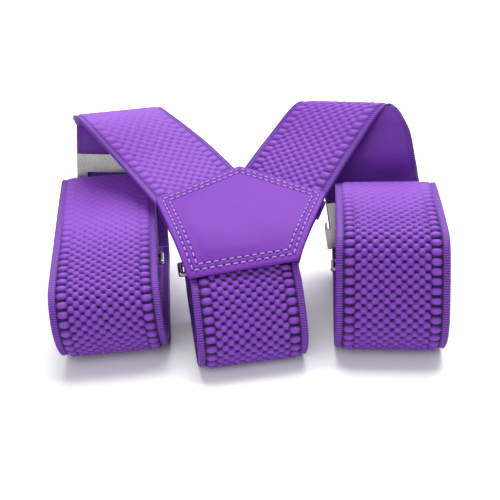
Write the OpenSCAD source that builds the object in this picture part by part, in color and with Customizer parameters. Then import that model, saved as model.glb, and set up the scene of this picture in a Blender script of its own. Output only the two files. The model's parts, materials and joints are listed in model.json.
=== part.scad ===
// Y-back trouser braces, 35 mm elastic webbing, laid out with the three straps rolled up.
// Millimetres, +Z up, straps stand on z = 0; the patch lies across the X = 0 plane.

/* [Webbing] */
// Width of the elastic webbing
web_w = 35; // [34:0.5:35]
// Thickness of the webbing
web_t = 2.2; // [1.8:0.1:2.2]
// Distance between the middles of two layers that lie on each other
layer_step = 2.45; // [2.4:0.05:2.6]
// Distance between the two layers where the strap turns round a wire loop
turn_step = 5.2; // [5.2:0.1:5.6]

/* [Patch] */
// Length of each of the patch's two lower sides, measured up the slope
patch_side = 36; // [30:1:38]
// Height of the patch's point above its bottom edge, measured up the slope
patch_len = 55.5; // [52:0.5:58]
// Greatest width of the patch
patch_w = 59; // [56:1:62]
// Thickness of the leather top layer
top_t = 1.5; // [1.2:0.1:1.8]
// Thickness of the lining under the straps
lining_t = 1.0; // [0.8:0.1:1.4]
// Height of the patch's bottom edge above the rest plane
patch_z = 31; // [30:0.5:32]

/* [Clips] */
// Radius of the loop wire
wire_r = 0.9; // [0.8:0.1:1.0]
// Width of the clip's base plate
clip_w = 27; // [24:1:28]
// Length of the clip's lever behind its pin
lever_len = 15; // [12:0.5:15]
// Radius of the clip's pivot pin
pin_r = 1.0; // [0.8:0.1:1.0]

/* [Adjusters] */
// Width of the adjuster over its side ears
adj_w = 38.5; // [38.5:0.5:41]
// Height of the adjuster along the strap
adj_h = 18; // [18:1:22]

/* [Hidden] */

// Moves the whole layout so that its footprint is centred on the origin
centring = [-0.31, -2.17, 0];

purple = [0.53, 0.30, 0.74];
leather = [0.61, 0.38, 0.80];
thread = [0.72, 0.52, 0.90];
nickel = [0.75, 0.75, 0.77];
rubber = [0.12, 0.12, 0.13];

hole_gap = 0.05;      // radial clearance of a pin in its holes
turn_pitch = 5.0;     // how far a doubled strap moves inwards in one turn
single_pitch = 2.6;   // the same for the single back strap
corner_soft = 0.8;    // how softly a roll's flats run into its round corners, in mm

// Angle round its roll where each strap meets the roll, and where it turns round the wire
left_from = -15;
left_to = -436;
right_from = -8;
right_to = -432;
back_from = 128;
back_to = 402;

// Round corners of each roll's outline, seen from its left: [backwards, up, radius]
left_corners = [[-23.5, 15.5, 16], [31, 28.5, 15.5], [22.5, 13, 13.5]];
right_corners = [[-14.3, 13.4, 14.4], [-7.4, 29.3, 14.5], [24, 33, 12.5], [23, 14, 14]];
back_corners = [[-14, 9, 10], [-7, 20, 9], [12, 18, 10], [10, 10, 10]];

// A roll: [x, y, z, yaw, corners, how far each inner turn lies to the right of the last].
// Its z makes the strap's lowest layer stand on z = 0.
function standing(x, y, yaw, corners, drift, from, pitch) =
    let(turned = abs((from > 0 ? 270 : -90) - from) / 360)
    [x, y, reach([x, y, 0, yaw, corners], 270) - pitch * turned, yaw, corners, drift];
left_roll = standing(-44.5, -3, 4.5, left_corners, -3.8, left_from, turn_pitch);
right_roll = standing(47, -18.7, -6.4, right_corners, 1.3, right_from, turn_pitch);
back_roll = standing(-0.7, -22.1, 7, back_corners, -1.5, back_from, single_pitch);

// How far each clip leans from lying flat on the rest plane
left_clip_lean = 0;
right_clip_lean = 2;
back_clip_lean = 181.5;

// Straight run above the roll, and its sideways slant
left_run = 30;
left_slant = 6;
right_run = 24;
right_slant = -8;
// Height of each adjuster's middle up the straight run
left_adj_up = 8.6;
right_adj_up = 9;
// Angle round its roll where each doubled layer ends, below its adjuster
left_double_at = -40;
right_double_at = -28;
sewn_after = 10;      // and how much further round its end is sewn

// Arch of each front strap from the patch to the straight run: [x, y, z, yaw, tilt]
left_arch = [[-14.7, 11.6, 40, 33.4, 5], [-27, 25, 49, 31, 2], [-43.2, 37.5, 61.2, 32, -6]];
right_arch = [[14.7, 11.6, 40, -33.4, -5], [26, 23, 51, -31, 0], [38.5, 31, 62.5, -28, 4],
              [45, 26, 57, -30, 3], [46.5, 20, 46, -20, 0]];
mitre = 11;           // how far a strap's outer edge reaches in under the patch

// ---- vectors ----
function unit(v) = v / norm(v);
function across(yaw, tilt = 0) = [cos(yaw) * cos(tilt), sin(yaw) * cos(tilt), sin(tilt)];
function back_of(yaw) = [-sin(yaw), cos(yaw), 0];
function smooth(x) = let(k = min(1, max(0, x))) k * k * (3 - 2 * k);

// ---- roll outline: distance of the tangent line, and its slope, at normal angle al ----
// Each corner has its own tangent line; the outline follows the farthest, softly.
function total(v, i = 0) = i < len(v) ? v[i] + total(v, i + 1) : 0;
function lines(R, al) = [for (c = R[4]) c[0] * cos(al) + c[1] * sin(al) + c[2]];
function slopes(R, al) = [for (c = R[4]) c[1] * cos(al) - c[0] * sin(al)];
function pulls(R, al) =
    let(h = lines(R, al), top = max(h)) [for (x = h) exp((x - top) / corner_soft)];
function reach(R, al) = max(lines(R, al)) + corner_soft * ln(total(pulls(R, al)));
function reach_slope(R, al) = let(p = pulls(R, al)) (p * slopes(R, al)) / total(p);
function roll_uv(R, al, off) =
    let(h = reach(R, al) - off, d = reach_slope(R, al))
    [h * cos(al) - d * sin(al), h * sin(al) + d * cos(al)];
function roll_point(R, uv, side = 0) =
    [R[0], R[1], R[2]] + uv[0] * back_of(R[3]) + [0, 0, uv[1]] + side * across(R[3]);
function roll_out(R, al) = cos(al) * back_of(R[3]) + [0, 0, sin(al)];
function roll_along(R, al) = -sin(al) * back_of(R[3]) + [0, 0, cos(al)];

// Depth of a strap's middle below the roll's outline, first layer and doubled layer
function depth(al, from, pitch) = web_t / 2 + pitch * abs(al - from) / 360;
function spread(al, to) = turn_step - (turn_step - layer_step) * smooth(abs(al - to) / 70);
function inner_uv(R, al, from, to, pitch) =
    roll_uv(R, al, depth(al, from, pitch) + spread(al, to) + web_t / 2);
function aside(R, al, from) = R[5] * abs(al - from) / 360;
function turn_centre(R, from, to, pitch) =
    roll_point(R, roll_uv(R, to, depth(to, from, pitch) + turn_step / 2), aside(R, to, from));

// ---- a ring of a strap: its four corners ----
function ring(c, w, n, lead_l = [0, 0, 0], lead_r = [0, 0, 0]) =
    let(a = w * web_w / 2, b = n * web_t / 2)
    [c - a + lead_l - b, c + a + lead_r - b, c + a + lead_r + b, c - a + lead_l + b];

// ---- rings round a roll ----
function outward_rings(R, from, to, pitch, step) =
    [for (al = [from : step : to])
        ring(roll_point(R, roll_uv(R, al, depth(al, from, pitch)), aside(R, al, from)),
             across(R[3]), roll_out(R, al))];
function turn_rings(R, from, to, pitch, way) =
    [for (k = [15 : 30 : 165])
        let(n = cos(k) * roll_out(R, to) + sin(k) * way * roll_along(R, to))
        ring(turn_centre(R, from, to, pitch) + n * turn_step / 2, across(R[3]), n)];
function return_rings(R, from, to, stop, pitch, step) =
    [for (al = [to : step : stop])
        ring(roll_point(R, roll_uv(R, al, depth(al, from, pitch) + spread(al, to)),
                        aside(R, al, from)),
             across(R[3]), -roll_out(R, al))];

// ---- the straight run above a roll ----
function run_point(R, from, q, slant, off) =
    roll_point(R, roll_uv(R, from, off), q * tan(slant)) + q * roll_along(R, from);
function run_rings(R, from, heights, slant, off, face) =
    [for (q = heights)
        let(t = unit(roll_along(R, from) + tan(slant) * across(R[3])),
            w = unit(across(R[3]) - (across(R[3]) * t) * t))
        ring(run_point(R, from, q, slant, off), w, face * roll_out(R, from))];

// ---- the arch: a smooth curve through its stations ----
function pass(p, i, k) =
    let(a = p[max(i - 1, 0)], b = p[i], c = p[i + 1], d = p[min(i + 2, len(p) - 1)])
    0.5 * (2 * b + (c - a) * k + (2 * a - 5 * b + 4 * c - d) * k * k
           + (3 * b - a - 3 * c + d) * pow(k, 3));
function arch_ring(p, i, k) =
    let(s = pass(p, i, k), e = pass(p, i, k + 0.02),
        t = unit([e[0] - s[0], e[1] - s[1], e[2] - s[2]]),
        w = across(s[3], s[4]))
    ring([s[0], s[1], s[2]], w, unit(cross(w, t)));
// The strap's mitred end, which lies flat under the patch
function tucked_ring(s, lead) =
    let(t = unit([-sin(s[3]), cos(s[3]), tan(slope_high) * cos(s[3])]), w = across(s[3], s[4]))
    ring([s[0], s[1], s[2]], w, unit(cross(w, t)), -lead[0] * t, -lead[1] * t);
function station(R, from, q, slant) =
    let(c = run_point(R, from, q, slant, web_t / 2)) [c[0], c[1], c[2], R[3], 0];

// A closed ribbon through rings of four corners
module ribbon(rings) {
    n = len(rings);
    points = [for (r = rings) for (c = r) c];
    sides = [for (i = [0 : n - 2]) for (j = [0 : 3])
        let(a = 4 * i + j, b = 4 * i + (j + 1) % 4)
        each [[a, b + 4, b], [a, a + 4, b + 4]]];
    ends = [[0, 1, 2], [0, 2, 3],
            [4 * n - 4, 4 * n - 2, 4 * n - 3], [4 * n - 4, 4 * n - 1, 4 * n - 2]];
    polyhedron(points = points, faces = concat(sides, ends));
}

// ---- the patch's slope: steep at the bottom edge, then straight ----
bend_len = 20;
slope_low = 38;
slope_high = 9;
bend_r = bend_len / ((slope_low - slope_high) * PI / 180);
patch_y = -32;
function slope_at(s) = slope_low - (slope_low - slope_high) * min(1, max(0, s / bend_len));
function patch_point(s, d) =
    let(a = slope_at(s), over = s - min(s, bend_len), under = min(s, 0))
    [patch_y + bend_r * (sin(slope_low) - sin(a)) + over * cos(a) + under * cos(a) + d * sin(a),
     patch_z + bend_r * (cos(a) - cos(slope_low)) + over * sin(a) + under * sin(a) - d * cos(a)];
strap_depth = top_t + web_t / 2 + 0.5;
lining_depth = top_t + web_t + 0.95;
half_patch = patch_w / 2;
pentagon = [[-web_w / 2, -2.2], [web_w / 2, 2.2], [half_patch, patch_side - 1.5],
            [0, patch_len], [-half_patch, patch_side]];
function plan(p) = [for (c = p) [c[0], patch_point(c[1], 0)[0]]];
// The corner of outline p at i, moved in from both its sides by d
function inset(p, d) =
    [for (i = [0 : len(p) - 1])
        let(a = p[(i + len(p) - 1) % len(p)], b = p[i], c = p[(i + 1) % len(p)],
            u = unit(b - a), v = unit(c - b), nu = [-u[1], u[0]], nv = [-v[1], v[0]])
        b + d * (nu + nv) / (1 + nu * nv)];

module placed() {
    translate(centring)
    children();
}

// Everything between two depths below the patch's top face
module patch_band(d_top, d_low) {
    stations = [-4, 0, 4, 8, 12, 16, 20, 64];
    n = len(stations);
    outline = concat([for (s = stations) patch_point(s, d_low)],
                     [for (i = [n - 1 : -1 : 0]) patch_point(stations[i], d_top)]);
    translate([-half_patch - 1, 0, 0])
    rotate([90, 0, 90])
    linear_extrude(patch_w + 2)
    polygon(outline);
}

module patch_top() {
    color(leather)
    placed()
    intersection() {
        linear_extrude(70) polygon(plan(pentagon));
        patch_band(0, top_t);
    }
}

module patch_lining() {
    color(leather)
    placed()
    intersection() {
        linear_extrude(70) polygon(plan(inset(pentagon, 1)));
        patch_band(lining_depth, lining_depth + lining_t);
    }
}

// Two rows of thread near the patch's edge
module patch_stitching() {
    color(thread)
    placed()
    intersection() {
        for (d = [2.2, 3.8])
            linear_extrude(70)
            difference() {
                polygon(plan(inset(pentagon, d)));
                polygon(plan(inset(pentagon, d + 0.5)));
            }
        patch_band(-0.35, 0);
    }
}

module front_strap(R, arch, from, to, run, slant, stop, lead) {
    p = concat(arch, [station(R, from, run, slant), station(R, from, run - 8, slant)]);
    last = len(arch) - 1;
    color(purple)
    placed()
    ribbon(concat(
        [tucked_ring(arch[0], lead)],
        [for (i = [0 : last]) for (k = [0 : 0.1 : 0.95]) arch_ring(p, i, k)],
        run_rings(R, from, [run : -5 : 1], slant, web_t / 2, 1),
        outward_rings(R, from, to, turn_pitch, -7.5),
        turn_rings(R, from, to, turn_pitch, -1),
        return_rings(R, from, to, stop, turn_pitch, 7.5)));
}

module left_strap() {
    front_strap(left_roll, left_arch, left_from, left_to, left_run, left_slant,
                left_double_at, [mitre, 0.2]);
}

module right_strap() {
    front_strap(right_roll, right_arch, right_from, right_to, right_run, right_slant,
                right_double_at, [0.2, mitre]);
}

back_fold = 30;       // angle over which the back strap's end is folded back and sewn
back_sewn_at = back_to - 24;
module back_strap() {
    color(purple)
    placed()
    ribbon(concat(
        [for (s = [12 : -4 : 0])
            let(c = patch_point(s, strap_depth), a = slope_at(s))
            ring([0, c[0], c[1]], [1, 0, 0], [0, -sin(a), cos(a)])],
        outward_rings(back_roll, back_from, back_to, single_pitch, 6),
        turn_rings(back_roll, back_from, back_to, single_pitch, 1),
        return_rings(back_roll, back_from, back_to, back_to - back_fold, single_pitch, -6)));
}

// Carries its children to a spot on a roll: local z points out of the roll, x along its width
// Sets a child on the inner face of a returning layer, its z axis square to that face
module on_return(R, at, from, to, pitch) {
    a = inner_uv(R, at - 2, from, to, pitch);
    b = inner_uv(R, at + 2, from, to, pitch);
    placed()
    translate(roll_point(R, inner_uv(R, at, from, to, pitch), aside(R, at, from)))
    rotate([atan2(b[1] - a[1], b[0] - a[0]) - 180, 0, R[3]])
    children();
}

// A bar of thread across a strap's end
module thread_bar() {
    color(thread)
    translate([-13, -0.2, -0.27])
    cube([26, 0.4, 0.2]);
}

// ---- adjuster: local y runs down the strap, z points away from the roll ----
frame_low = -3.1;
frame_t = 1.0;
ear_t = 1.0;
ear_low = 1;
ear_h = 8;
plate_w = 34;
adj_pin_y = 5;
adj_pin_z = 3.5;
adj_pin_r = 0.8;
adj_knuckle_r = 1.7;
module at_left_adjuster() {
    placed()
    translate(run_point(left_roll, left_from, left_adj_up, left_slant, web_t / 2))
    rotate([left_from - 90, 0, left_roll[3]])
    rotate([0, 0, left_slant])
    children();
}
module at_right_adjuster() {
    placed()
    translate(run_point(right_roll, right_from, right_adj_up, right_slant, web_t / 2))
    rotate([right_from - 90, 0, right_roll[3]])
    rotate([0, 0, right_slant])
    children();
}

module adjuster_frame() {
    color(nickel)
    difference() {
        union() {
            difference() {
                union() {
                    translate([-plate_w / 2, -adj_h / 2, frame_low])
                        cube([plate_w, adj_h, frame_t]);
                    translate([-adj_w / 2, ear_low, frame_low]) cube([adj_w, ear_h, frame_t]);
                }
                translate([-plate_w / 2 + 4, -2, frame_low - 1])
                    cube([plate_w - 8, adj_h / 2 - 1, frame_t + 2]);
            }
            for (x = [-adj_w / 2, adj_w / 2 - ear_t])
                translate([x, ear_low, frame_low])
                cube([ear_t, ear_h, adj_pin_z + 1.8 - frame_low]);
        }
        translate([-adj_w, adj_pin_y, adj_pin_z])
        rotate([0, 90, 0])
        cylinder(r = adj_pin_r + hole_gap, h = 2 * adj_w, $fn = 32);
    }
}

module adjuster_pin() {
    color(nickel)
    translate([-adj_w / 2 - 0.3, adj_pin_y, adj_pin_z])
    rotate([0, 90, 0])
    cylinder(r = adj_pin_r, h = adj_w + 0.6, $fn = 32);
}

module adjuster_lever() {
    w = adj_w - 2 * ear_t - 1;
    color(nickel)
    difference() {
        union() {
            translate([-w / 2, adj_pin_y, adj_pin_z])
                rotate([0, 90, 0])
                cylinder(r = adj_knuckle_r, h = w, $fn = 32);
            translate([-w / 2, -adj_h / 2, adj_pin_z + 0.5])
                cube([w, adj_h / 2 + adj_pin_y, 1.1]);
            translate([-w / 2, adj_pin_y - 1, adj_pin_z - 2])
                cube([w, 1.2, 1]);
        }
        translate([-w, adj_pin_y, adj_pin_z])
        rotate([0, 90, 0])
        cylinder(r = adj_pin_r + hole_gap, h = 2 * w, $fn = 32);
    }
}

// ---- clip: the wire's strap bar lies on the local x axis, y points to the jaws ----
loop_len = 6.5;
loop_half = web_w / 2 + 1.2;
base_low = -3.2;
base_t = 1.2;
base_end = 27;
clip_pin_y = 21;
clip_pin_z = 2.6;
clip_ear_t = 1.0;
knuckle_r = 2.3;
lever_knuckle_r = 1.9;
lever_w = clip_w - 2 * clip_ear_t - 1;
pad_t = 1.2;
module at_left_clip() {
    placed()
    translate(turn_centre(left_roll, left_from, left_to, turn_pitch))
    rotate([left_clip_lean, 0, left_roll[3] + 180])
    children();
}
module at_right_clip() {
    placed()
    translate(turn_centre(right_roll, right_from, right_to, turn_pitch))
    rotate([right_clip_lean, 0, right_roll[3] + 180])
    children();
}
module at_back_clip() {
    placed()
    translate(turn_centre(back_roll, back_from, back_to, single_pitch))
    rotate([back_clip_lean, 0, back_roll[3]])
    children();
}

module wire_loop() {
    color(nickel) {
        for (y = [0, loop_len])
            translate([-loop_half, y, 0])
            rotate([0, 90, 0])
            cylinder(r = wire_r, h = 2 * loop_half, $fn = 24);
        for (x = [-loop_half, loop_half]) {
            translate([x, 0, 0])
                rotate([-90, 0, 0])
                cylinder(r = wire_r, h = loop_len, $fn = 24);
            for (y = [0, loop_len])
                translate([x, y, 0])
                sphere(r = wire_r, $fn = 24);
        }
    }
}

module clip_base() {
    color(nickel)
    difference() {
        union() {
            translate([-clip_w / 2, loop_len, base_low]) cube([clip_w, base_end - loop_len, base_t]);
            translate([-clip_w / 2, loop_len, 0])
                rotate([0, 90, 0])
                cylinder(r = knuckle_r, h = clip_w, $fn = 32);
            for (x = [-clip_w / 2, clip_w / 2 - clip_ear_t])
                translate([x, clip_pin_y - 3.2, base_low])
                cube([clip_ear_t, 6.4, clip_pin_z + 1.8 - base_low]);
        }
        translate([-clip_w, loop_len, 0])
            rotate([0, 90, 0])
            cylinder(r = wire_r + hole_gap, h = 2 * clip_w, $fn = 32);
        translate([-clip_w, clip_pin_y, clip_pin_z])
            rotate([0, 90, 0])
            cylinder(r = pin_r + hole_gap, h = 2 * clip_w, $fn = 32);
    }
}

module clip_pin() {
    color(nickel)
    translate([-clip_w / 2 - 0.5, clip_pin_y, clip_pin_z])
    rotate([0, 90, 0])
    cylinder(r = pin_r, h = clip_w + 1, $fn = 32);
}

module clip_lever() {
    color(nickel)
    difference() {
        union() {
            translate([-lever_w / 2, clip_pin_y, clip_pin_z])
                rotate([0, 90, 0])
                cylinder(r = lever_knuckle_r, h = lever_w, $fn = 32);
            translate([-lever_w / 2, clip_pin_y - lever_len, clip_pin_z + 0.8])
                cube([lever_w, lever_len, 1]);
            translate([-lever_w / 2, clip_pin_y - 2.2, clip_pin_z - 2.3])
                cube([lever_w, 2.6, 1.3]);
        }
        translate([-clip_w, clip_pin_y, clip_pin_z])
        rotate([0, 90, 0])
        cylinder(r = pin_r + hole_gap, h = 2 * clip_w, $fn = 32);
    }
}

module base_pad() {
    color(rubber)
    translate([-lever_w / 2 + 1, clip_pin_y - 3, base_low + base_t])
    cube([lever_w - 2, 7, pad_t]);
}

module lever_pad() {
    color(rubber)
    translate([-lever_w / 2 + 1, clip_pin_y - 2.2, clip_pin_z - 3.1])
    cube([lever_w - 2, 2.6, 0.8]);
}

patch_top();
patch_lining();
patch_stitching();
left_strap();
right_strap();
back_strap();
on_return(left_roll, left_double_at - sewn_after, left_from, left_to, turn_pitch)  // left_end_stitching
    thread_bar();
on_return(right_roll, right_double_at - sewn_after, right_from, right_to, turn_pitch)  // right_end_stitching
    thread_bar();
on_return(back_roll, back_sewn_at, back_from, back_to, single_pitch) thread_bar();  // back_end_stitching
at_left_adjuster() adjuster_frame();  // left_adjuster_frame
at_left_adjuster() adjuster_lever();  // left_adjuster_lever
at_left_adjuster() adjuster_pin();  // left_adjuster_pin
at_right_adjuster() adjuster_frame();  // right_adjuster_frame
at_right_adjuster() adjuster_lever();  // right_adjuster_lever
at_right_adjuster() adjuster_pin();  // right_adjuster_pin
at_left_clip() wire_loop();  // left_wire_loop
at_left_clip() clip_base();  // left_clip_base
at_left_clip() clip_pin();  // left_clip_pin
at_left_clip() clip_lever();  // left_clip_lever
at_left_clip() base_pad();  // left_base_pad
at_left_clip() lever_pad();  // left_lever_pad
at_right_clip() wire_loop();  // right_wire_loop
at_right_clip() clip_base();  // right_clip_base
at_right_clip() clip_pin();  // right_clip_pin
at_right_clip() clip_lever();  // right_clip_lever
at_right_clip() base_pad();  // right_base_pad
at_right_clip() lever_pad();  // right_lever_pad
at_back_clip() wire_loop();  // back_wire_loop
at_back_clip() clip_base();  // back_clip_base
at_back_clip() clip_pin();  // back_clip_pin
at_back_clip() clip_lever();  // back_clip_lever
at_back_clip() base_pad();  // back_base_pad
at_back_clip() lever_pad();  // back_lever_pad
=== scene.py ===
"""Looks of the rolled-up Y-back braces: bubble-weave elastic straps, leather patch, nickel hardware."""
import json
import math

import bpy
import numpy as np
from mathutils import Matrix, Vector


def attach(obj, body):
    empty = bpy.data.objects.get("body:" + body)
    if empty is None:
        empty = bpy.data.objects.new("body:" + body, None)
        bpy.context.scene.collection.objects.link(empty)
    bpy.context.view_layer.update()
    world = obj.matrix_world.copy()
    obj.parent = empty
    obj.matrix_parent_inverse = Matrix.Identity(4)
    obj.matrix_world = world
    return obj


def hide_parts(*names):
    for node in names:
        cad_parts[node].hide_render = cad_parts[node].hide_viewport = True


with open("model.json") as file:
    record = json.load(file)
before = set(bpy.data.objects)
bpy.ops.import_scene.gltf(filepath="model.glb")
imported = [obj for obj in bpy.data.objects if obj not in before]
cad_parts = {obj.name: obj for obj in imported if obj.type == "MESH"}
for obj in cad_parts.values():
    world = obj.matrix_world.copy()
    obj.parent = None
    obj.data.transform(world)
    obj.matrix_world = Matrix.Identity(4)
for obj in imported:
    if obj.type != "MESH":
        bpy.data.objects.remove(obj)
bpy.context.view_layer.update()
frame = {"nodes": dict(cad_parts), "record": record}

MM = 0.001

# ---------------------------------------------------------------- sizes shared with the CAD, in mm
WEB_W, WEB_T = 35.0, 2.2
LAYER_STEP, TURN_STEP = 2.45, 5.2   # between two layers of a doubled strap, closed and at the turn
TURN_PITCH, SINGLE_PITCH = 5.0, 2.6  # how much a full turn of doubled or single webbing takes up
CLOSING_ANGLE = 70.0                # degrees after the turn until the two layers lie close
CORNER_SOFT = 0.8
CENTRING = np.array([-0.31, -2.17, 0.0])
LEFT_FROM, LEFT_TO = -15.0, -436.0
RIGHT_FROM, RIGHT_TO = -8.0, -432.0
BACK_FROM, BACK_TO, BACK_FOLD = 128.0, 402.0, 30.0
LEFT_DOUBLE_AT, RIGHT_DOUBLE_AT = -40.0, -28.0
LEFT_RUN, LEFT_SLANT = 30.0, 6.0
RIGHT_RUN, RIGHT_SLANT = 24.0, -8.0
LEFT_CORNERS = [(-23.5, 15.5, 16), (31, 28.5, 15.5), (22.5, 13, 13.5)]
RIGHT_CORNERS = [(-14.3, 13.4, 14.4), (-7.4, 29.3, 14.5), (24, 33, 12.5), (23, 14, 14)]
BACK_CORNERS = [(-14, 9, 10), (-7, 20, 9), (12, 18, 10), (10, 10, 10)]
LEFT_ARCH = [[-14.7, 11.6, 40, 33.4, 5], [-27, 25, 49, 31, 2], [-43.2, 37.5, 61.2, 32, -6]]
RIGHT_ARCH = [[14.7, 11.6, 40, -33.4, -5], [26, 23, 51, -31, 0], [38.5, 31, 62.5, -28, 4],
              [45, 26, 57, -30, 3], [46.5, 20, 46, -20, 0]]
ARCH_STEP = 0.02        # share of the way from one station to the next
MITRE = 11.0            # how much further one edge reaches under the patch
PATCH_SIDE, PATCH_LEN, PATCH_W = 36.0, 55.5, 59.0
TOP_T = 1.5
PATCH_Y, PATCH_Z = -32.0, 31.0      # the middle of its front edge
BEND_LEN, SLOPE_LOW, SLOPE_HIGH = 20.0, 38.0, 9.0


def unit(v):
    return v / np.linalg.norm(v, axis=-1, keepdims=True)


def add_object(name, data):
    o = bpy.data.objects.new(name, data)
    bpy.context.scene.collection.objects.link(o)
    return o


# ---------------------------------------------------------------- the rolls' outline
class Roll:
    """A rolled strap's outline, drawn round its corners [backwards, up, radius], on z = 0."""

    def __init__(self, x, y, yaw, corners, drift, start, pitch):
        self.corners, self.drift = np.array(corners, float), drift
        self.start, self.pitch = start, pitch
        a = math.radians(yaw)
        self.across = np.array([math.cos(a), math.sin(a), 0.0])
        self.back = np.array([-math.sin(a), math.cos(a), 0.0])
        low = 270 if start > 0 else -90
        z = float(self.reach(low)) - pitch * abs(low - start) / 360
        self.middle = np.array([x, y, z])

    def lines(self, angle):
        a = np.radians(np.asarray(angle, float))[..., None]
        back, up, radius = self.corners.T
        return back * np.cos(a) + up * np.sin(a) + radius, up * np.cos(a) - back * np.sin(a)

    def reach(self, angle):
        """Distance from the roll's middle to its outline's tangent facing that way."""
        h = self.lines(angle)[0]
        top = h.max(-1, keepdims=True)
        return top[..., 0] + CORNER_SOFT * np.log(np.exp((h - top) / CORNER_SOFT).sum(-1))

    def reach_slope(self, angle):
        h, slope = self.lines(angle)
        pull = np.exp((h - h.max(-1, keepdims=True)) / CORNER_SOFT)
        return (pull * slope).sum(-1) / pull.sum(-1)

    def out(self, angle):
        a = np.radians(np.asarray(angle, float))[..., None]
        return np.cos(a) * self.back + np.sin(a) * np.array([0, 0, 1.0])

    def along(self, angle):
        a = np.radians(np.asarray(angle, float))[..., None]
        return -np.sin(a) * self.back + np.cos(a) * np.array([0, 0, 1.0])

    def depth(self, angle):
        """How far the webbing's middle lies inside the outline, more with every turn."""
        return WEB_T / 2 + self.pitch * np.abs(angle - self.start) / 360

    def point(self, angle, off):
        angle = np.asarray(angle, float)
        h = (self.reach(angle) - off)[..., None]
        d = self.reach_slope(angle)[..., None]
        aside = (self.drift * np.abs(angle - self.start) / 360)[..., None]
        return self.middle + h * self.out(angle) + d * self.along(angle) + aside * self.across


LEFT_ROLL = Roll(-44.5, -3, 4.5, LEFT_CORNERS, -3.8, LEFT_FROM, TURN_PITCH)
RIGHT_ROLL = Roll(47, -18.7, -6.4, RIGHT_CORNERS, 1.3, RIGHT_FROM, TURN_PITCH)
BACK_ROLL = Roll(-0.7, -22.1, 7, BACK_CORNERS, -1.5, BACK_FROM, SINGLE_PITCH)


# ---------------------------------------------------------------- the straps' routes
# A route is three arrays: the middle of the webbing, its width direction, and its face's normal.
def smooth(x):
    k = np.clip(x, 0, 1)
    return k * k * (3 - 2 * k)


def spread(angle, to):
    """Distance between the two layers: wide at the turn, closing away from it."""
    return TURN_STEP - (TURN_STEP - LAYER_STEP) * smooth(np.abs(angle - to) / CLOSING_ANGLE)


def outward(roll, to):
    """Along the roll's outline, in steps of one degree."""
    angle = np.arange(roll.start, to + np.sign(to - roll.start) * 0.1, np.sign(to - roll.start))
    middle = roll.point(angle, roll.depth(angle))
    return middle, np.tile(roll.across, (len(angle), 1)), roll.out(angle)


def turn(roll, to):
    """The half circle in which the strap turns back on itself, around a wire loop."""
    way = np.sign(to - roll.start)
    k = np.radians(np.arange(6, 175, 6.0))[:, None]
    normal = np.cos(k) * roll.out(to) + np.sin(k) * way * roll.along(to)
    centre = roll.point(to, roll.depth(to) + TURN_STEP / 2)
    return centre + normal * TURN_STEP / 2, np.tile(roll.across, (len(k), 1)), normal


def inward(roll, to, stop):
    """Back along the inside of the layer just laid."""
    step = np.sign(stop - to)
    angle = np.arange(to, stop + step * 0.1, step)
    middle = roll.point(angle, roll.depth(angle) + spread(angle, to))
    return middle, np.tile(roll.across, (len(angle), 1)), -roll.out(angle)


def straight(roll, heights, slant, off, face):
    """The run that leaves the roll's back, slanting sideways as it rises."""
    q = np.asarray(heights, float)[:, None]
    side = math.tan(math.radians(slant))
    along = unit(roll.along(roll.start) + side * roll.across)
    across = unit(roll.across - (roll.across @ along) * along)
    middle = roll.point(roll.start, off) + q * (roll.along(roll.start) + side * roll.across)
    n = len(q)
    return middle, np.tile(across, (n, 1)), np.tile(face * roll.out(roll.start), (n, 1))


def arch(stations, roll, run, slant):
    """A smooth curve through the stations [x, y, z, yaw, tilt] to the top of the run."""
    side = math.tan(math.radians(slant))
    ends = [[*(roll.point(roll.start, WEB_T / 2)
               + q * (roll.along(roll.start) + side * roll.across)),
             math.degrees(math.atan2(roll.across[1], roll.across[0])), 0] for q in (run, run - 8)]
    p = np.array(stations + ends, float)
    out = []
    for i in range(len(stations)):
        a, b, c, d = p[max(i - 1, 0)], p[i], p[i + 1], p[min(i + 2, len(p) - 1)]
        for k in np.arange(0, 1, ARCH_STEP):
            out.append(0.5 * (2 * b + (c - a) * k + (2 * a - 5 * b + 4 * c - d) * k * k
                              + (3 * b - a - 3 * c + d) * k ** 3))
    out = np.array(out)
    middle = out[:, :3]
    yaw, tilt = np.radians(out[:, 3]), np.radians(out[:, 4])
    across = np.stack([np.cos(yaw) * np.cos(tilt), np.sin(yaw) * np.cos(tilt), np.sin(tilt)], 1)
    tangent = unit(np.gradient(middle, axis=0))
    return middle, across, unit(np.cross(across, tangent))


def join(*parts):
    return [np.concatenate([p[i] for p in parts]) for i in range(3)]


def front_route(stations, roll, to, run, slant, stop):
    parts = [arch(stations, roll, run, slant),
             straight(roll, np.arange(run, 0.5, -1.0), slant, WEB_T / 2, 1),
             outward(roll, to), turn(roll, to), inward(roll, to, stop)]
    return join(*parts), sum(len(p[0]) for p in parts[:4])


def slope_at(s):
    return SLOPE_LOW - (SLOPE_LOW - SLOPE_HIGH) * np.clip(np.asarray(s, float) / BEND_LEN, 0, 1)


def patch_point(s, d):
    """Height and depth of a point s up the patch's slope and d below its top face."""
    s = np.asarray(s, float)
    a, low = np.radians(slope_at(s)), math.radians(SLOPE_LOW)
    r = BEND_LEN / math.radians(SLOPE_LOW - SLOPE_HIGH)
    over = s - np.clip(s, 0, BEND_LEN)
    y = PATCH_Y + r * (math.sin(low) - np.sin(a)) + over * np.cos(a) + d * np.sin(a)
    z = PATCH_Z + r * (np.cos(a) - math.cos(low)) + over * np.sin(a) - d * np.cos(a)
    return y, z


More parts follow.
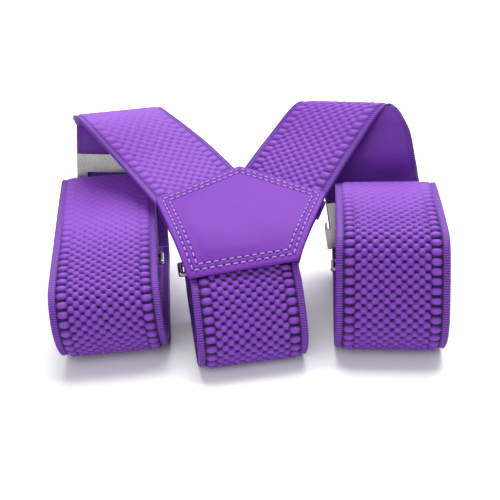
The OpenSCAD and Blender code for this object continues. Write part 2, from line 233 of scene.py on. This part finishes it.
def back_route():
    s = np.arange(12, -0.5, -1.0)
    y, z = patch_point(s, TOP_T + WEB_T / 2 + 0.5)
    a = np.radians(slope_at(s))
    start = (np.stack([0 * s, y, z], 1), np.tile([1.0, 0, 0], (len(s), 1)),
             np.stack([0 * s, -np.sin(a), np.cos(a)], 1))
    parts = [start, outward(BACK_ROLL, BACK_TO), turn(BACK_ROLL, BACK_TO),
             inward(BACK_ROLL, BACK_TO, BACK_TO - BACK_FOLD)]
    return join(*parts), sum(len(p[0]) for p in parts[:3])


def resample(route, seen, fine, coarse):
    """The route again with rings fine apart over its first, seen stretch and coarse after it."""
    middle, across, normal = route
    for _ in range(3):
        for a in (middle, across, normal):
            a[1:-1] = (a[:-2] + 2 * a[1:-1] + a[2:]) / 4
    step = np.linalg.norm(np.diff(middle, axis=0), axis=1)
    along = np.concatenate([[0], np.cumsum(step)])
    split = along[seen - 1]
    at = np.concatenate([np.arange(0, split, fine), np.arange(split, along[-1], coarse),
                         [along[-1]]])
    pick = [np.stack([np.interp(at, along, a[:, k]) for k in range(3)], 1)
            for a in (middle, across, normal)]
    return pick[0], unit(pick[1]), unit(pick[2]), at


# ---------------------------------------------------------------- the webbing's relief, in mm
SELVEDGE = 2.4          # width of the thin edge on each side
ZONE = WEB_W / 2 - SELVEDGE     # the bubbles reach this far from the middle
COLUMN = 1.75           # from one column of bubbles to the next
ROW = 3.0               # from one bubble to the next in the same column
COLUMNS = 7             # columns on each side of the middle one
BUBBLE_A, BUBBLE_B = 1.32, 1.3   # half width and half length of a bubble
EDGE_X, EDGE_A = 13.1, 1.9       # the wide outer bubbles' middle and half width
RELIEF = 1.35           # how far the bubbles stand above the ground between them
GROUND = -0.25          # that ground, from the webbing's middle plane
DRAWN_IN = 0.55         # how much lower the bubbles are where the webbing is drawn flat
BACK_FACE = -0.95       # the plain side, from the middle plane
BACK_SHADE, EDGE_SHADE = 0.66, 0.8  # their place on the colour ramp, from the painted shade of the gaps (0) to the bubble tops (1)


def bubbles(x, s):
    """Height of the heart-shaped bubbles above their ground, 0 to 1."""
    best = np.zeros_like(x)
    for k in range(-COLUMNS, COLUMNS + 1):
        outer = abs(k) == COLUMNS
        cx = math.copysign(EDGE_X, k) if outer else k * COLUMN
        half = EDGE_A if outer else BUBBLE_A
        near = np.abs(x - cx) < half
        if not near.any():
            continue
        shift = (k % 2) * ROW / 2
        t = (s[near] + shift) / ROW
        dy = (t - np.round(t)) * ROW / BUBBLE_B
        taper = 1.0 if outer else 1 - 0.34 * smooth((dy + 0.1) / 1.1)
        dx = (x[near] - cx) / (half * taper)
        inside = np.clip(1 - np.abs(dx) ** 2.4 - np.abs(dy) ** 2.6, 0, 1)
        h = inside ** 0.5
        if not outer:
            h = h - 0.2 * np.exp(-(dx / 0.24) ** 2) * smooth(-dy * 1.5) * inside
        best[near] = np.maximum(best[near], h)
    return best


def top_height(x, s, relief):
    """Height of the face side above the webbing's middle plane."""
    h = GROUND + RELIEF - RELIEF * relief * (1 - bubbles(x, s)) - DRAWN_IN * (1 - relief)
    edge = np.abs(x) > ZONE
    e = np.abs(x[edge]) - ZONE
    lip = 0.14 * np.exp(-((e - 1.8) / 0.3) ** 2) - 0.32 * np.exp(-(e / 0.3) ** 2)
    h[edge] = 0.26 + lip - 0.5 * smooth((e - 2.0) / 0.35)
    return h


def flatness(middle, normal, along, arch_len, arch_relief):
    """How far the bubbles stand out: less over the arch, where the webbing is drawn tight."""
    up = smooth(normal[:, 2] / 0.5)
    rolled = 1 - 0.8 * up * smooth((middle[:, 1] + 30) / 40)
    k = np.clip(along / max(arch_len, 1), 0, 1)
    drawn = np.interp(k, [0, 0.35, 0.75, 1], arch_relief)
    return np.where(along < arch_len, drawn, rolled)


RIM = [0.15, 0.3, 0.55, 0.9, 1.3, 1.6, 1.8, 2.0, 2.2, 2.32]     # the selvedge's points, from ZONE
LOW_SIDE = [(WEB_W / 2 - 0.05, -0.5), (WEB_W / 2 - 0.8, BACK_FACE + 0.12),
            (WEB_W / 2 - 3, BACK_FACE), (6.0, BACK_FACE)]          # half of the plain side
RELIEF_BLUR = 25        # rings that the change from raised to flat is spread over


def cross_section():
    """Points across the webbing: x of the face side, then x and height of the plain side."""
    rim = np.array(RIM)
    top_x = np.concatenate([-(ZONE + rim[::-1]), np.linspace(-ZONE, ZONE, 83), ZONE + rim])
    low = LOW_SIDE + [(-x, h) for x, h in reversed(LOW_SIDE)]
    return top_x, *np.array(low).T


def tuck(all_x, along, across, mitre):
    """How far each point of the first rings reaches on under the patch."""
    c, d = across[0][:2]
    under = unit(np.array([-d, c, math.tan(math.radians(SLOPE_HIGH)) * c]))
    near_start = np.clip(1 - along / 0.8, 0, 1)[:, None]
    share = (all_x / (WEB_W / 2) + 1) / 2
    lead = -(mitre[0] * (1 - share) + mitre[1] * share) * near_start
    return lead[..., None] * under


def ribbon_mesh(name, points):
    """A closed tube of rings; points is rings x points per ring x 3, in metres."""
    rows, n = points.shape[:2]
    a = (np.arange(rows - 1)[:, None] * n + np.arange(n)[None]).ravel()
    b = (np.arange(rows - 1)[:, None] * n + (np.arange(n)[None] + 1) % n).ravel()
    quads = np.stack([a, b, b + n, a + n], 1)
    caps = list(range(n))[::-1] + [(rows - 1) * n + i for i in range(n)]
    starts = np.concatenate([np.arange(len(quads)) * 4, [len(quads) * 4, len(quads) * 4 + n]])
    mesh = bpy.data.meshes.new(name)
    mesh.vertices.add(rows * n)
    mesh.vertices.foreach_set("co", points.astype(np.float32).ravel())
    mesh.loops.add(len(quads) * 4 + 2 * n)
    mesh.loops.foreach_set("vertex_index", np.concatenate([quads.ravel(), caps]).astype(np.int32))
    mesh.polygons.add(len(quads) + 2)
    mesh.polygons.foreach_set("loop_start", starts.astype(np.int32))
    mesh.update(calc_edges=True)
    mesh.validate()
    mesh.polygons.foreach_set("use_smooth", np.ones(len(mesh.polygons), bool))
    return mesh


def mark_shade_and_weave(mesh, shade, across, along):
    """Give each point its painted shade, dark in the gaps between bubbles, and a flat map in mm: across
    the webbing, along it.
    """
    attr = mesh.attributes.new("painted_cavity_shading", "FLOAT", "POINT")
    attr.data.foreach_set("value", shade.ravel().astype(np.float32))
    uv = mesh.uv_layers.new(name="weave")
    loops = np.zeros(len(mesh.loops), np.int32)
    mesh.loops.foreach_get("vertex_index", loops)
    flat = np.stack([across, along], -1).reshape(-1, 2)
    uv.data.foreach_set("uv", flat[loops].astype(np.float32).ravel())


def webbing(name, route, seen, arch_len, arch_relief, mitre, fine=0.42, coarse=0.8):
    middle, across, normal, along = resample(route, seen, fine, coarse)
    relief = flatness(middle, normal, along, arch_len, arch_relief)
    relief = np.convolve(np.pad(relief, RELIEF_BLUR // 2, "edge"),
                         np.ones(RELIEF_BLUR) / RELIEF_BLUR, "valid")[:, None]
    top_x, low_x, low_h = cross_section()
    rows = len(along)
    x = np.tile(top_x, (rows, 1))
    s = np.tile(along[:, None], (1, len(top_x)))
    h = top_height(x, s, np.broadcast_to(relief, x.shape))
    h = h * smooth((np.minimum(along, along[-1] - along)) / 0.8)[:, None]
    all_x = np.concatenate([x, np.tile(low_x, (rows, 1))], 1)
    all_h = np.concatenate([h, np.tile(low_h, (rows, 1))], 1)
    points = (middle[:, None] + all_x[..., None] * across[:, None]
              + all_h[..., None] * normal[:, None] + tuck(all_x, along, across, mitre) + CENTRING)
    # painted shade: the gaps between the bubbles darkened, less so where the relief is drawn flatter
    shade = 1 - (1 - bubbles(x, s)) * relief
    shade[:, np.abs(top_x) > ZONE] = EDGE_SHADE
    shade = np.concatenate([shade, np.full((rows, len(low_x)), BACK_SHADE)], 1)
    mesh = ribbon_mesh(name, points * MM)
    mark_shade_and_weave(mesh, shade, all_x, np.tile(along[:, None], (1, all_x.shape[1])))
    return add_object(name, mesh), along[-1]


# ---------------------------------------------------------------- materials
def shader(name, **sockets):
    m = bpy.data.materials.new(name)
    m.use_nodes = True
    b = m.node_tree.nodes["Principled BSDF"]
    for key, value in sockets.items():
        b.inputs[key.replace("_", " ")].default_value = value
    return m, m.node_tree, b


def node(nt, kind, **values):
    n = nt.nodes.new(kind)
    for k, v in values.items():
        if k in n.inputs:
            n.inputs[k].default_value = v
        else:
            setattr(n, k, v)
    return n


def ramp(nt, source, *stops):
    r = nt.nodes.new("ShaderNodeValToRGB")
    nt.links.new(source, r.inputs["Fac"])
    e = r.color_ramp.elements
    e[0].position, e[0].color = stops[0][0], (*stops[0][1], 1)
    e[1].position, e[1].color = stops[-1][0], (*stops[-1][1], 1)
    for pos, colour in stops[1:-1]:
        e.new(pos).color = (*colour, 1)
    return r.outputs["Color"]


def texture(nt, kind, coords, **values):
    t = node(nt, kind, **values)
    nt.links.new(coords, t.inputs["Vector"])
    return t


def object_coords(nt):
    return node(nt, "ShaderNodeTexCoord").outputs["Object"]


def multiplied(nt, colour, by, factor=None):
    """The product of two colours: everywhere, or as far as factor says."""
    mix = node(nt, "ShaderNodeMix", data_type="RGBA", blend_type="MULTIPLY")
    if factor is None:
        mix.inputs["Factor"].default_value = 1.0
    else:
        nt.links.new(factor, mix.inputs["Factor"])
    nt.links.new(colour, mix.inputs["A"])
    nt.links.new(by, mix.inputs["B"])
    return mix.outputs["Result"]


def roughen(nt, b, source, low, high):
    rough = node(nt, "ShaderNodeMapRange")
    rough.inputs["To Min"].default_value = low
    rough.inputs["To Max"].default_value = high
    nt.links.new(source, rough.inputs["Value"])
    nt.links.new(rough.outputs["Result"], b.inputs["Roughness"])


def emboss(nt, b, height, strength, distance):
    bump = node(nt, "ShaderNodeBump", Strength=strength, Distance=distance)
    nt.links.new(height, bump.inputs["Height"])
    nt.links.new(bump.outputs["Normal"], b.inputs["Normal"])


def ribbed_selvedge(nt, uv, colour):
    """The colour with thin dark ribs across it, on the two selvedges only."""
    rib = texture(nt, "ShaderNodeTexWave", uv, Scale=0.4, Distortion=0.7, Detail=1.0,
                  bands_direction="Y")
    place = texture(nt, "ShaderNodeSeparateXYZ", uv)
    aside = node(nt, "ShaderNodeMath", operation="ABSOLUTE")
    nt.links.new(place.outputs["X"], aside.inputs[0])
    mask = node(nt, "ShaderNodeMapRange")
    mask.inputs["From Min"].default_value = ZONE
    mask.inputs["From Max"].default_value = ZONE + 0.3
    nt.links.new(aside.outputs["Value"], mask.inputs["Value"])
    stripe = ramp(nt, rib.outputs["Fac"], (0.15, (0.3, 0.22, 0.4)), (0.7, (1.05, 1.05, 1.05)))
    return multiplied(nt, colour, stripe, mask.outputs["Result"])


def fine_threads(nt, uv):
    """Height of the fine threads and fuzz that cover the webbing."""
    thread = texture(nt, "ShaderNodeTexWave", uv, Scale=1.35, Distortion=1.4, Detail=2.0,
                     bands_direction="DIAGONAL")
    thread.inputs["Detail Scale"].default_value = 3.0
    fuzz = texture(nt, "ShaderNodeTexNoise", uv, Scale=9.0, Detail=2.0)
    add = node(nt, "ShaderNodeMath", operation="MULTIPLY_ADD")
    add.inputs[1].default_value = 0.6
    nt.links.new(thread.outputs["Fac"], add.inputs[0])
    nt.links.new(fuzz.outputs["Fac"], add.inputs[2])
    return add.outputs["Value"]


def webbing_material():
    m, nt, b = shader("webbing_elastic", Roughness=0.62)
    b.inputs["Sheen Weight"].default_value = 0.08
    b.inputs["Sheen Roughness"].default_value = 0.4
    b.inputs["Sheen Tint"].default_value = (0.75, 0.55, 1.0, 1)
    b.inputs["Specular IOR Level"].default_value = 0.35
    # painted shade: the base colour runs from near black in the gaps between bubbles to bright purple
    # on the bubble tops
    painted_cavity_shading = node(nt, "ShaderNodeAttribute", attribute_name="painted_cavity_shading")
    base = ramp(nt, painted_cavity_shading.outputs["Fac"], (0.0, (0.006, 0.0004, 0.028)), (0.35, (0.035, 0.004, 0.13)),
                (0.7, (0.145, 0.026, 0.34)), (1.0, (0.195, 0.044, 0.42)))
    uv = node(nt, "ShaderNodeUVMap", uv_map="weave").outputs["UV"]
    speck = texture(nt, "ShaderNodeTexNoise", uv, Scale=1.1, Detail=3.0)
    tone = ramp(nt, speck.outputs["Fac"], (0.3, (0.88, 0.86, 0.92)), (0.7, (1.06, 1.05, 1.03)))
    colour = ribbed_selvedge(nt, uv, multiplied(nt, base, tone))
    nt.links.new(colour, b.inputs["Base Color"])
    emboss(nt, b, fine_threads(nt, uv), 0.35, 0.00012)
    return m


def leather_material(name, light, dark):
    m, nt, b = shader(name, Roughness=0.5)
    b.inputs["Specular IOR Level"].default_value = 0.14
    co = object_coords(nt)
    grain = texture(nt, "ShaderNodeTexVoronoi", co, Scale=1500.0, Randomness=1.0,
                    feature="SMOOTH_F1")
    cloud = texture(nt, "ShaderNodeTexNoise", co, Scale=60.0, Detail=5.0, Roughness=0.6)
    tone = ramp(nt, cloud.outputs["Fac"], (0.3, dark), (0.7, light))
    # painted shade: the leather darkened to near black at each needle hole
    needle_hole_shade = node(nt, "ShaderNodeAttribute", attribute_name="needle_hole_shade")
    holes = node(nt, "ShaderNodeMix", data_type="RGBA")
    holes.inputs["B"].default_value = (0.015, 0.002, 0.05, 1)
    nt.links.new(needle_hole_shade.outputs["Fac"], holes.inputs["Factor"])
    nt.links.new(tone, holes.inputs["A"])
    nt.links.new(holes.outputs["Result"], b.inputs["Base Color"])
    roughen(nt, b, cloud.outputs["Fac"], 0.5, 0.68)
    emboss(nt, b, grain.outputs["Distance"], 0.35, 0.0001)
    return m


def thread_material():
    m, nt, b = shader("sewing_thread", Roughness=0.55)
    twist = texture(nt, "ShaderNodeTexWave", object_coords(nt), Scale=900.0, Distortion=0.5,
                    bands_direction="DIAGONAL")
    tone = ramp(nt, twist.outputs["Fac"], (0.0, (0.24, 0.11, 0.44)), (1.0, (0.44, 0.27, 0.64)))
    nt.links.new(tone, b.inputs["Base Color"])
    emboss(nt, b, twist.outputs["Fac"], 0.4, 0.00008)
    return m


def shaded_nickel_material():
    m, nt, b = shader("nickel_plate_shaded", Metallic=1.0, Roughness=0.2)
    cloud = texture(nt, "ShaderNodeTexNoise", object_coords(nt), Scale=240.0, Detail=4.0)
    # Nickel plating with its base colour darkened to a mid grey: painted shade for hardware that sits
    # in the shade of the rolls and the arch.
    tone = ramp(nt, cloud.outputs["Fac"], (0.3, (0.40, 0.39, 0.39)), (0.7, (0.45, 0.44, 0.43)))
    nt.links.new(tone, b.inputs["Base Color"])
    roughen(nt, b, cloud.outputs["Fac"], 0.14, 0.32)
    return m


def rubber_material():
    m, nt, b = shader("jaw_rubber", Roughness=0.75)
    cloud = texture(nt, "ShaderNodeTexNoise", object_coords(nt), Scale=900.0, Detail=3.0)
    tone = ramp(nt, cloud.outputs["Fac"], (0.3, (0.018, 0.018, 0.02)), (0.7, (0.035, 0.035, 0.038)))
    nt.links.new(tone, b.inputs["Base Color"])
    emboss(nt, b, cloud.outputs["Fac"], 0.3, 0.0001)
    return m


def dress(o, material):
    o.data.materials.clear()
    o.data.materials.append(material)


# ---------------------------------------------------------------- straps
WEBBING = webbing_material()


def strap(name, route, seen, arch_len=0.0, arch_relief=(1, 1, 1, 1), mitre=(0.0, 0.0)):
    o, length = webbing(name + "_webbing", route, seen, arch_len, arch_relief, mitre)
    dress(o, WEBBING)
    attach(o, "root")
    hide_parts(name)


strap("left_strap", *front_route(LEFT_ARCH, LEFT_ROLL, LEFT_TO, LEFT_RUN, LEFT_SLANT,
                                 LEFT_DOUBLE_AT),
      arch_len=62.0, arch_relief=(0.42, 0.3, 0.05, 0.05), mitre=(MITRE, 0.2))
strap("right_strap", *front_route(RIGHT_ARCH, RIGHT_ROLL, RIGHT_TO, RIGHT_RUN, RIGHT_SLANT,
                                  RIGHT_DOUBLE_AT),
      arch_len=68.0, arch_relief=(0.56, 0.42, 0.12, 0.1), mitre=(0.2, MITRE))
strap("back_strap", *back_route())


# ---------------------------------------------------------------- patch
PENTAGON = np.array([[-WEB_W / 2, -2.2], [WEB_W / 2, 2.2], [PATCH_W / 2, PATCH_SIDE - 1.5],
                     [0, PATCH_LEN], [-PATCH_W / 2, PATCH_SIDE]])
ROWS = (2.2, 4.1)       # the two rows of stitches, from the patch's edge
STITCH_PITCH = 2.5
STITCH_LEN = 1.75
STITCH_R = 0.27
UNDERSIDE = 1.42        # depth of the top layer's underside


def edge_distance(x, s):
    """Distance of plan points from each of the pentagon's five edges."""
    a, b = PENTAGON, np.roll(PENTAGON, -1, axis=0)
    t = unit(b - a)
    return np.stack([(t[i, 0] * (s - a[i, 1]) - t[i, 1] * (x - a[i, 0])) for i in range(5)])


def inset(d):
    """The pentagon's corners moved in by d."""
    a = np.roll(PENTAGON, 1, axis=0)
    c = np.roll(PENTAGON, -1, axis=0)
    u, v = unit(PENTAGON - a), unit(c - PENTAGON)
    nu, nv = np.stack([-u[:, 1], u[:, 0]], 1), np.stack([-v[:, 1], v[:, 0]], 1)
    return PENTAGON + d * (nu + nv) / (1 + (nu * nv).sum(1))[:, None]


def outline(d, per_edge, rounds):
    """The pentagon moved in by d, with the same number of points whatever d is."""
    p = inset(d)
    q = np.roll(p, -1, axis=0)
    pts = np.concatenate([p[i] + (q[i] - p[i]) * np.arange(n)[:, None] / n
                          for i, n in enumerate(per_edge)])
    for _ in range(rounds):
        pts = (np.roll(pts, 1, 0) + 2 * pts + np.roll(pts, -1, 0)) / 4
    return pts


def stitch_points(d):
    """Middle and direction of each stitch in the row that is d from the edge."""
    p = inset(d)
    q = np.roll(p, -1, axis=0)
    out = []
    for a, b in zip(p, q):
        n = max(1, round(np.linalg.norm(b - a) / STITCH_PITCH))
        for k in range(n):
            out.append((a + (b - a) * (k + 0.5) / n, unit(b - a)))
    return out


HOLES = np.array([m + e * t * STITCH_PITCH / 2 for d in ROWS for m, t in stitch_points(d)
                  for e in (-1, 1)])


def covered(x, s):
    """How far a strap lies between the patch and its lining, 0 to 1."""
    back = smooth((19.5 - np.abs(x)) / 2) * smooth((14.5 - s) / 3)
    e = edge_distance(x, s)
    front = smooth((13 - np.minimum(e[2], e[3])) / 3)
    return np.maximum(back, front)


def leather_sheet(name, profile, top, low):
    """A closed leather sheet: profile is [distance from the edge, 0 top or 1 underside]."""
    per_edge = [round(np.linalg.norm(b - a) / 0.3)
                for a, b in zip(PENTAGON, np.roll(PENTAGON, -1, axis=0))]
    rings, near = [], []
    for d, side in profile:
        o = outline(d, per_edge, 8 if d < 3 else 3)
        x, s = o[:, 0], o[:, 1]
        hole = np.sqrt(((o[:, None] - HOLES[None]) ** 2).sum(-1)).min(1)
        depth = (low if side else top)(d, x, s, hole)
        y, z = patch_point(s, depth)
        rings.append(np.stack([x, y, z], 1))
        # how near each point of the top face lies to a needle hole, for the painted shade in the holes
        near.append(np.exp(-(hole / 0.3) ** 2) if not side else np.zeros(len(x)))
    rings, near = np.array(rings), np.array(near)
    k, n = rings.shape[:2]
    ends = np.array([rings[0].mean(0), rings[-1].mean(0)])
    verts = (np.concatenate([rings.reshape(-1, 3), ends]) + CENTRING) * MM
    i = np.arange(n)
    j = (i + 1) % n
    faces = []
    for r in range(k - 1):
        faces += [(r * n + a, r * n + b, (r + 1) * n + b, (r + 1) * n + a) for a, b in zip(i, j)]
    faces += [(k * n, b, a) for a, b in zip(i, j)]
    faces += [(k * n + 1, (k - 1) * n + a, (k - 1) * n + b) for a, b in zip(i, j)]
    mesh = bpy.data.meshes.new(name)
    mesh.from_pydata(verts.tolist(), [], [[int(v) for v in f] for f in faces])
    mesh.validate()
    attr = mesh.attributes.new("needle_hole_shade", "FLOAT", "POINT")
    attr.data.foreach_set("value", np.concatenate([near.ravel(), [0, 0]]).astype(np.float32))
    mesh.polygons.foreach_set("use_smooth", np.ones(len(mesh.polygons), bool))
    return add_object(name, mesh)


def patch_top_depth(d, x, s, hole):
    """The rolled edge, the grooves under both rows, the soft crown and the needle holes."""
    edge = 0.55 * (1 - math.sqrt(max(0.0, 1 - max(0.0, 1 - d / 0.55) ** 2)))
    groove = sum(0.17 * math.exp(-((d - row) / 0.42) ** 2) for row in ROWS)
    crown = 0.28 * float(smooth((d - 4.2) / 5)) + 0.1 * math.exp(-((d - 3.1) / 0.5) ** 2)
    ripple = 0.09 * np.sin(0.23 * x + 0.31 * s) + 0.07 * np.sin(0.41 * x - 0.17 * s + 1.3)
    return (edge + groove - crown + 0.2 * np.exp(-(hole / 0.32) ** 2)
            - ripple * float(smooth((d - 3) / 6)))


# Distances of a leather sheet's rings from its edge: close together around the stitches, or wide.
FINE = np.concatenate([[0, 0.04, 0.12, 0.25, 0.42, 0.6], np.arange(0.85, 5.1, 0.22),
                       np.arange(5.6, 9, 0.6), np.arange(10, 21, 1.5)])
COARSE = [20, 16, 13, 11, 9, 7, 5, 3, 1.5, 0.6, 0.2]


# ---------------------------------------------------------------- sewing thread
SIDES, STEPS = 8, 8     # faces around a stitch and along it


def threads(name, stitches, radius):
    """One mesh of separate stitches, each [middle, direction, outward, length] in mm."""
    verts, faces = [], []
    t = np.linspace(-1, 1, STEPS + 1)
    ring = np.linspace(0, 2 * math.pi, SIDES, endpoint=False)
    for middle, along, out, length in stitches:
        side = np.cross(along, out)
        base = len(verts)
        for k in t:
            lift = radius * 0.75 * (1 - abs(k) ** 4) - radius * 0.9 * abs(k) ** 6
            r = radius * (0.55 + 0.45 * math.sqrt(max(0.0, 1 - abs(k) ** 5)))
            c = middle + along * k * length / 2 + out * lift
            verts += [c + r * (math.cos(a) * side + math.sin(a) * out) for a in ring]
        for i in range(STEPS):
            for j in range(SIDES):
                a, b = base + SIDES * i + j, base + SIDES * i + (j + 1) % SIDES
                faces.append((a, a + SIDES, b + SIDES, b))
        faces.append([base + j for j in range(SIDES)])
        faces.append([base + SIDES * STEPS + j for j in reversed(range(SIDES))])
    mesh = bpy.data.meshes.new(name)
    mesh.from_pydata(((np.array(verts) + CENTRING) * MM).tolist(), [], faces)
    mesh.polygons.foreach_set("use_smooth", np.ones(len(mesh.polygons), bool))
    return add_object(name, mesh)


def on_patch(x, s, depth):
    y, z = patch_point(s, depth)
    return np.array([x, float(y), float(z)])


def patch_stitches():
    out = []
    for d in ROWS:
        for (x, s), (tx, ts) in stitch_points(d):
            a = math.radians(float(slope_at(s)))
            along = unit(np.array([tx, ts * math.cos(a), ts * math.sin(a)]))
            up = np.array([0, -math.sin(a), math.cos(a)])
            out.append((on_patch(x, s, 0.12), along, up, STITCH_LEN))
    return out


def piece(o, material, replaced):
    dress(o, material)
    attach(o, "root")
    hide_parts(replaced)


LEATHER = leather_material("patch_leather", (0.15, 0.03, 0.325), (0.125, 0.024, 0.29))
# The lining: the patch leather made darker, painted shade under the top layer.
LINING_SHADED = leather_material("patch_lining_leather", (0.10, 0.018, 0.25), (0.08, 0.014, 0.22))
THREAD = thread_material()
SHADED_NICKEL = shaded_nickel_material()
RUBBER = rubber_material()
piece(leather_sheet("patch_top_leather",
                    [(d, 1) for d in COARSE] + [(0.03, 1)] + [(d, 0) for d in FINE],
                    patch_top_depth,
                    lambda d, x, s, hole: UNDERSIDE - 0.25 * math.exp(-d / 0.12) + 0 * x),
      LEATHER, "patch_top")
piece(leather_sheet("patch_lining_leather",
                    [(d, 1) for d in COARSE] + [(0.1, 1), (0.1, 0)]
                    + [(d, 0) for d in reversed(COARSE)],
                    lambda d, x, s, hole: 1.5 + 2.3 * covered(x, s),
                    lambda d, x, s, hole: 2.3 + 2.4 * covered(x, s)),
      LINING_SHADED, "patch_lining")
piece(threads("patch_stitches", patch_stitches(), STITCH_R), THREAD, "patch_stitching")
LOOKS = {"thread": THREAD, "nickel_hardware": SHADED_NICKEL, "jaw_rubber": RUBBER}
for part in frame["record"]["subparts"]:
    if part["material_slot"] in LOOKS:
        dress(frame["nodes"][part["node"]], LOOKS[part["material_slot"]])


# ---------------------------------------------------------------- floor, light and camera
def stage_floor():
    bpy.ops.mesh.primitive_plane_add(size=6, location=(0, 0, 0))
    floor = bpy.context.object
    floor.name = "floor"
    m, nt, b = shader("floor_white", Roughness=0.9)
    b.inputs["Base Color"].default_value = (0.93, 0.93, 0.93, 1)
    dress(floor, m)


def area_light(name, place, aim, size, power):
    d = bpy.data.lights.new(name, "AREA")
    d.shape, d.size, d.energy = "SQUARE", size, power
    o = add_object(name, d)
    o.location = place
    o.rotation_euler = (Vector(aim) - Vector(place)).to_track_quat("-Z", "Y").to_euler()


CAMERA_AT = (0.0019, -0.24214, 0.148)
CAMERA_DOWN, CAMERA_ROLL = 28, -3       # degrees
LAMP_AIM = (0, 0, 0.03)


def make_camera():
    d = bpy.data.cameras.new("camera")
    d.lens, d.sensor_width = 55.0, 36.0
    d.clip_start, d.clip_end = 0.01, 20.0
    o = add_object("camera", d)
    down, roll = math.radians(90 - CAMERA_DOWN), math.radians(CAMERA_ROLL)
    turn_by = Matrix.Rotation(down, 4, "X") @ Matrix.Rotation(roll, 4, "Z")
    o.matrix_world = Matrix.Translation(CAMERA_AT) @ turn_by
    bpy.context.scene.camera = o


def light_up():
    world = bpy.data.worlds.new("studio")
    bpy.context.scene.world = world
    world.use_nodes = True
    bg = world.node_tree.nodes["Background"]
    bg.inputs["Color"].default_value = (1, 1, 1, 1)
    bg.inputs["Strength"].default_value = 0.4
    area_light("top_back", (0.1, 0.35, 0.75), LAMP_AIM, 0.7, 13)
    area_light("front_fill", (-0.3, -0.7, 0.6), LAMP_AIM, 0.8, 4.2)


stage_floor()
light_up()
make_camera()
bpy.context.scene.view_settings.view_transform = "Standard"
